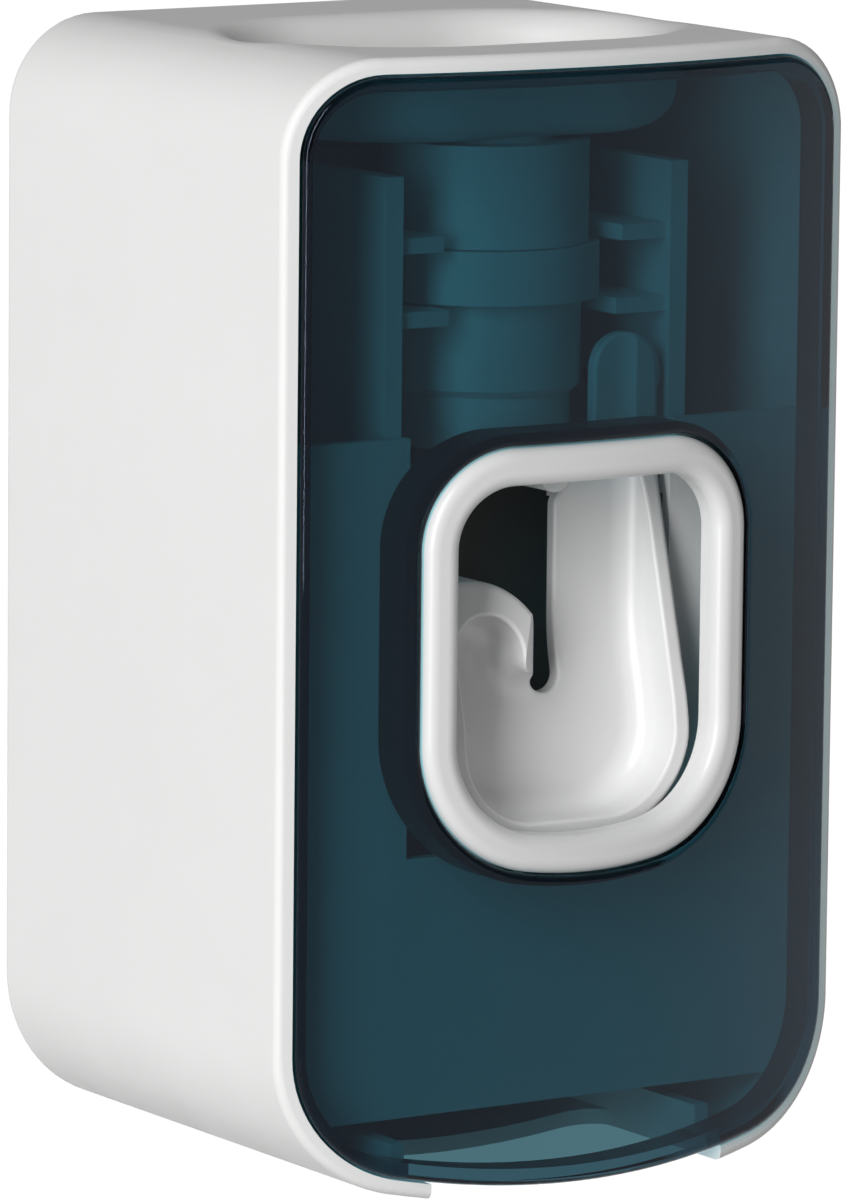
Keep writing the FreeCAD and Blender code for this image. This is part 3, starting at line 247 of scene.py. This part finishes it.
# %% Smoked acrylic
ACRYLIC_TINT = (0.093, 0.205, 0.232)
ACRYLIC_DEEP = (0.052, 0.348, 0.457)
ACRYLIC_DENSITY = 210.0
LAMP_TINT = (0.66, 0.95, 0.98, 1)
ACRYLIC_BEND = 1.49
ACRYLIC_SHINE = (0.26, 0.30, 0.40, 1)
ACRYLIC_DRIFT = 0.06
ACRYLIC_DRIFT_SIZE = 40 * MM
ACRYLIC_GLOSS = (0.015, 0.03)
ACRYLIC_GLOSS_SIZE = 9 * MM


def smoked(name):
    """Tinted glass with an absorbing inside, pale to the rays that light what is behind it."""
    finish = Finish(name)
    dark = [channel * (1 - ACRYLIC_DRIFT) for channel in ACRYLIC_TINT]
    finish.tones(finish.noise(ACRYLIC_DRIFT_SIZE), dark, ACRYLIC_TINT)
    finish.levels(finish.noise(ACRYLIC_GLOSS_SIZE, detail=4), *ACRYLIC_GLOSS)
    finish.set(Transmission_Weight=1.0, IOR=ACRYLIC_BEND, Specular_Tint=ACRYLIC_SHINE)
    clear = finish.add("ShaderNodeBsdfTransparent")
    clear.inputs["Color"].default_value = LAMP_TINT
    path = finish.add("ShaderNodeLightPath")
    mix = finish.add("ShaderNodeMixShader")
    lighting = finish.add("ShaderNodeMath", operation="MAXIMUM")
    finish.join(path.outputs["Is Shadow Ray"], lighting.inputs[0])
    finish.join(path.outputs["Is Diffuse Ray"], lighting.inputs[1])
    finish.join(lighting.outputs["Value"], mix.inputs["Fac"])
    finish.join(finish.shader.outputs["BSDF"], mix.inputs[1])
    finish.join(clear.outputs["BSDF"], mix.inputs[2])
    finish.join(mix.outputs["Shader"], finish.output.inputs["Surface"])
    deep = finish.add("ShaderNodeVolumeAbsorption")
    deep.inputs["Color"].default_value = (*ACRYLIC_DEEP, 1)
    deep.inputs["Density"].default_value = ACRYLIC_DENSITY
    finish.join(deep.outputs["Volume"], finish.output.inputs["Volume"])
    finishes[name] = finish.material


smoked("tinted")
print("acrylic bends light by", ACRYLIC_BEND)

# %% [markdown]
# The pin, the screws, the retaining ring and the spring are plain steel. Wire and bar are drawn through a
# die, which leaves fine lines along them; a noise squeezed across the lines and stretched along them gives
# that, and it also moves the roughness, because a scratch is duller than the bright metal beside it.

# %% Drawn steel
STEEL_TONES = ((0.50, 0.50, 0.515), (0.66, 0.66, 0.675))
STEEL_GLOSS = (0.24, 0.40)
LINE_SIZE = 0.4 * MM
LINE_DEPTH = 0.006 * MM
LINE_STRETCH = (0.12, 1.0, 1.0)


def drawn_steel(name):
    """Bare metal with fine lines along X."""
    finish = Finish(name)
    lines = finish.noise(LINE_SIZE, detail=3, place=finish.stretched(LINE_STRETCH))
    finish.tones(lines, *STEEL_TONES)
    finish.levels(lines, *STEEL_GLOSS)
    finish.relief(lines, LINE_DEPTH)
    finish.set(Metallic=1.0)
    finishes[name] = finish.material


drawn_steel("steel")
print("steel tones:", STEEL_TONES)

# %% [markdown]
# The tube's socket, the valves and the piston's seal are milky silicone. Light goes a little way into it,
# so some subsurface scattering takes the hardness out of its shadows, and its skin is matt and uneven.

# %% Milky silicone
SILICONE_TONES = ((0.70, 0.72, 0.725), (0.78, 0.80, 0.80))
SILICONE_GLOSS = (0.42, 0.56)
CLOUD_SIZE = 6 * MM
SKIN_SIZE = 1.5 * MM
SKIN_GRAIN = 0.6 * MM
SKIN_DEPTH = 0.01 * MM
SCATTER_SHARE = 0.35
SCATTER_REACH = 2 * MM


def milky_silicone(name):
    """Soft, cloudy rubber that scatters light inside."""
    finish = Finish(name)
    finish.tones(finish.noise(CLOUD_SIZE), *SILICONE_TONES)
    finish.levels(finish.noise(SKIN_SIZE, detail=3), *SILICONE_GLOSS)
    finish.relief(finish.noise(SKIN_GRAIN, detail=2), SKIN_DEPTH)
    finish.set(Subsurface_Weight=SCATTER_SHARE, Subsurface_Scale=SCATTER_REACH)
    finishes[name] = finish.material


milky_silicone("silicone")
print("silicone tones:", SILICONE_TONES)

# %% [markdown]
# The pad between the wall plate and the wall is closed-cell foam tape. Its cut edge shows small bubbles,
# and a Voronoi texture is made of just such cells: its distance field dents the surface and darkens the
# hollows, which is painted shade.

# %% Foam tape
FOAM_CELL = 0.45 * MM
FOAM_DENT = 0.12 * MM
FOAM_GREY_AND_HOLLOW_SHADE = ((0.16, 0.16, 0.165), (0.34, 0.34, 0.345))
FOAM_GLOSS = (0.75, 0.9)
FOAM_GLOSS_SIZE = 5 * MM


def foam_tape(name):
    """Dark foam with a cell pattern that dents it and paints shade into its hollows."""
    finish = Finish(name)
    cells = finish.add("ShaderNodeTexVoronoi")
    cells.inputs["Scale"].default_value = 1 / FOAM_CELL
    finish.join(finish.place, cells.inputs["Vector"])
    # Painted shade: each cell gets darker towards its middle, where the dent is deepest.
    finish.tones(cells.outputs["Distance"], *FOAM_GREY_AND_HOLLOW_SHADE)
    finish.levels(finish.noise(FOAM_GLOSS_SIZE), *FOAM_GLOSS)
    finish.relief(cells.outputs["Distance"], FOAM_DENT)
    finishes[name] = finish.material


foam_tape("foam")
print("foam cells:", FOAM_CELL / MM, "mm")

# %% [markdown]
# The record names a material slot for every piece of the frame. Going through that list, rather than naming
# pieces one by one, makes sure that no piece keeps a plain stand-in.

# %% Give every piece of the frame its finish
for part in frame["record"]["subparts"]:
    for slot in nodes[part["node"]].material_slots:
        slot.material = finishes[part["material_slot"]]

# %% [markdown]
# The return spring sits round the plunger and pushes it down. A screw modifier could wind it, but a spin
# with a small step along its axis does the same in one operator: the wire's round section goes round the
# axis and climbs. A bought spring has a closed turn at each end that lies almost flat, so the spin runs
# three times, each from where the last one stopped, and only the middle one climbs fast.

# %% Wind the return spring
SPRING_TURNS = 6
END_TURNS = 0.75
END_CLIMB = 1.25
STEPS_A_TURN = 40
WIRE_SIDES = 14
WIRE = 1.0 * MM
WELD = 0.001 * MM

spring_low, spring_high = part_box("plunger_spring")
spring_axis = (spring_low + spring_high) / 2
spring_radius = (spring_high.x - spring_low.x - WIRE) / 2
climb = spring_high.z - spring_low.z - WIRE
end_rise = END_CLIMB * WIRE * END_TURNS
stretches = (
    (END_TURNS, end_rise),
    (SPRING_TURNS - 2 * END_TURNS, climb - 2 * end_rise),
    (END_TURNS, end_rise),
)


def finished_piece(name, bm, body, slot):
    """A mesh object at the origin that rides on a body and takes a slot's finish."""
    mesh = bpy.data.meshes.new(name)
    bm.to_mesh(mesh)
    bm.free()
    piece = bpy.data.objects.new(name, mesh)
    scene.collection.objects.link(piece)
    mesh.materials.append(finishes[slot])
    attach(piece, body)
    return piece


bm = bmesh.new()
bmesh.ops.create_circle(bm, cap_ends=True, segments=WIRE_SIDES, radius=WIRE / 2)
bmesh.ops.rotate(bm, verts=bm.verts, cent=(0, 0, 0), matrix=Matrix.Rotation(math.pi / 2, 3, "X"))
first = Vector((spring_axis.x + spring_radius, spring_axis.y, spring_low.z + WIRE / 2))
bmesh.ops.translate(bm, verts=bm.verts, vec=first)
section = bm.verts[:] + bm.edges[:] + bm.faces[:]
for turns, rise in stretches:
    steps = round(turns * STEPS_A_TURN)
    wound = bmesh.ops.spin(
        bm, geom=section, cent=spring_axis, axis=Z_AXIS, angle=turns * math.tau,
        dvec=Z_AXIS * rise / steps, steps=steps, use_merge=False, use_duplicate=False,
    )
    section = wound["geom_last"]
bmesh.ops.remove_doubles(bm, verts=bm.verts, dist=WELD)
bmesh.ops.recalc_face_normals(bm, faces=bm.faces)
for face in bm.faces:
    face.smooth = len(face.verts) == 4
spring = finished_piece("return_spring", bm, "casing", "steel")
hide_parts("plunger_spring")
print("spring:", SPRING_TURNS, "turns of", WIRE / MM, "mm wire,", len(spring.data.polygons), "faces")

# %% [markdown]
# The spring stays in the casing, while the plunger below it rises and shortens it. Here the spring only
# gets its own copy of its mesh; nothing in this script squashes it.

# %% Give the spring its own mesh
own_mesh(spring)

# %% [markdown]
# The adhesive pad is a die-cut piece of foam tape, pressed on by hand. It is a box first; then the four
# edges through its thickness are bevelled into round corners, and the rims get a much smaller bevel,
# because pressed foam has no sharp edge. Bevelling the corners first lets the small bevel run round them.

# %% Cut the adhesive pad
PAD_CORNER = 4 * MM
PAD_RIM = 0.3 * MM
CORNER_STEPS = 8
RIM_STEPS = 3
ROUND_PROFILE = 0.5

pad_low, pad_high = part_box("adhesive_pad")
bm = bmesh.new()
bmesh.ops.create_cube(bm, size=1)
bmesh.ops.scale(bm, verts=bm.verts, vec=pad_high - pad_low)
bmesh.ops.translate(bm, verts=bm.verts, vec=(pad_low + pad_high) / 2)


def along_y(edge):
    """True for an edge through the pad's thickness."""
    ends = [vert.co for vert in edge.verts]
    return abs(ends[0].y - ends[1].y) > (pad_high.y - pad_low.y) / 2


def bevel(edges, width, steps):
    """Round some of the pad's edges off."""
    bmesh.ops.bevel(
        bm, geom=edges, offset=width, offset_type="OFFSET", affect="EDGES",
        segments=steps, profile=ROUND_PROFILE, material=-1,
    )


bevel([edge for edge in bm.edges if along_y(edge)], PAD_CORNER, CORNER_STEPS)
bevel([edge for edge in bm.edges if not along_y(edge)], PAD_RIM, RIM_STEPS)
bmesh.ops.recalc_face_normals(bm, faces=bm.faces)
pad = finished_piece("foam_pad", bm, "wall_mount", "foam")
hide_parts("adhesive_pad")
print("pad:", len(pad.data.polygons), "faces")

# %% [markdown]
# The dispenser hangs above a plain pale floor. To the camera, and in reflections, the floor gives a little
# light of its own so that it reads as white, but part of its brightness is still light that falls on it,
# so the dispenser's soft shadow stays on it. To the light that bounces round the scene it is plain paint.

# %% Lay the floor
FLOOR_LEVEL = -620 * MM
FLOOR_HALF = 12.0
FLOOR_TONE = (0.50, 0.50, 0.50)
FLOOR_SEEN_TONE = (0.30, 0.30, 0.30, 1)
FLOOR_GLOW = 0.96
FLOOR_DRIFT = 0.01
FLOOR_DRIFT_SIZE = 0.6


def seen_rays(finish):
    """1 for rays from the camera, in reflections and through glass; 0 for light that bounces."""
    path = finish.add("ShaderNodeLightPath")
    seen = path.outputs["Is Camera Ray"]
    for kind in ("Is Glossy Ray", "Is Transmission Ray"):
        either = finish.add("ShaderNodeMath", operation="MAXIMUM")
        finish.join(seen, either.inputs[0])
        finish.join(path.outputs[kind], either.inputs[1])
        seen = either.outputs["Value"]
    return seen


floor_paint = Finish("floor_paint")
floor_dark = [channel * (1 - FLOOR_DRIFT) for channel in FLOOR_TONE]
floor_paint.tones(floor_paint.noise(FLOOR_DRIFT_SIZE), floor_dark, FLOOR_TONE)
floor_paint.set(Roughness=0.9, Specular_IOR_Level=0.0)
matt = floor_paint.add("ShaderNodeBsdfDiffuse")
matt.inputs["Color"].default_value = FLOOR_SEEN_TONE
glow = floor_paint.add("ShaderNodeEmission")
glow.inputs["Strength"].default_value = FLOOR_GLOW
both = floor_paint.add("ShaderNodeAddShader")
floor_paint.join(matt.outputs["BSDF"], both.inputs[0])
floor_paint.join(glow.outputs["Emission"], both.inputs[1])
choice = floor_paint.add("ShaderNodeMixShader")
floor_paint.join(seen_rays(floor_paint), choice.inputs["Fac"])
floor_paint.join(floor_paint.shader.outputs["BSDF"], choice.inputs[1])
floor_paint.join(both.outputs["Shader"], choice.inputs[2])
floor_paint.join(choice.outputs["Shader"], floor_paint.output.inputs["Surface"])

bm = bmesh.new()
bmesh.ops.create_grid(bm, x_segments=1, y_segments=1, size=FLOOR_HALF)
bmesh.ops.translate(bm, verts=bm.verts, vec=(0, 0, FLOOR_LEVEL))
floor_mesh = bpy.data.meshes.new("floor")
bm.to_mesh(floor_mesh)
bm.free()
floor = bpy.data.objects.new("floor", floor_mesh)
floor_mesh.materials.append(floor_paint.material)
scene.collection.objects.link(floor)
print("floor at", FLOOR_LEVEL, "m")

# %% [markdown]
# The light is that of a small white studio. The world gives an even grey light from everywhere, and one
# tall soft lamp stands to the left in front. It reaches from near the floor to well above the dispenser, so
# that upright glossy edges catch it all along. Its energy is worked out from the level wanted on a surface
# that faces it, so that it can be moved without changing the exposure.

# %% Light the studio
AMBIENT = 0.22
LAMP_LEVEL = 0.80
LAMP_AZIMUTH = math.radians(59)
LAMP_HEIGHT = math.radians(17)
LAMP_DISTANCE = 2.4
LAMP_WIDTH = 0.8
LAMP_TALL = 2.3
LAMP_AIM = Vector((0, -40, 0)) * MM

world = bpy.data.worlds.new("studio")
world.use_nodes = True
scene.world = world
sky = world.node_tree.nodes["Background"]
sky.inputs["Color"].default_value = (1, 1, 1, 1)
sky_path = world.node_tree.nodes.new("ShaderNodeLightPath")
sky_level = world.node_tree.nodes.new("ShaderNodeMapRange")
sky_level.inputs["To Min"].default_value = AMBIENT
sky_level.inputs["To Max"].default_value = 1.0
world.node_tree.links.new(sky_path.outputs["Is Camera Ray"], sky_level.inputs["Value"])
world.node_tree.links.new(sky_level.outputs["Result"], sky.inputs["Strength"])

lamp_way = Vector((
    -math.sin(LAMP_AZIMUTH) * math.cos(LAMP_HEIGHT),
    -math.cos(LAMP_AZIMUTH) * math.cos(LAMP_HEIGHT),
    math.sin(LAMP_HEIGHT),
))
lamp_data = bpy.data.lights.new("key", "AREA")
lamp_data.shape = "RECTANGLE"
lamp_data.size = LAMP_WIDTH
lamp_data.size_y = LAMP_TALL
lamp_data.energy = 4 * math.pi * LAMP_LEVEL * LAMP_DISTANCE**2
lamp = bpy.data.objects.new("key", lamp_data)
lamp.location = LAMP_AIM + lamp_way * LAMP_DISTANCE
lamp.rotation_euler = aimed(lamp.location, LAMP_AIM)
scene.collection.objects.link(lamp)
print("key lamp:", round(lamp_data.energy, 1), "W at", LAMP_DISTANCE, "m")
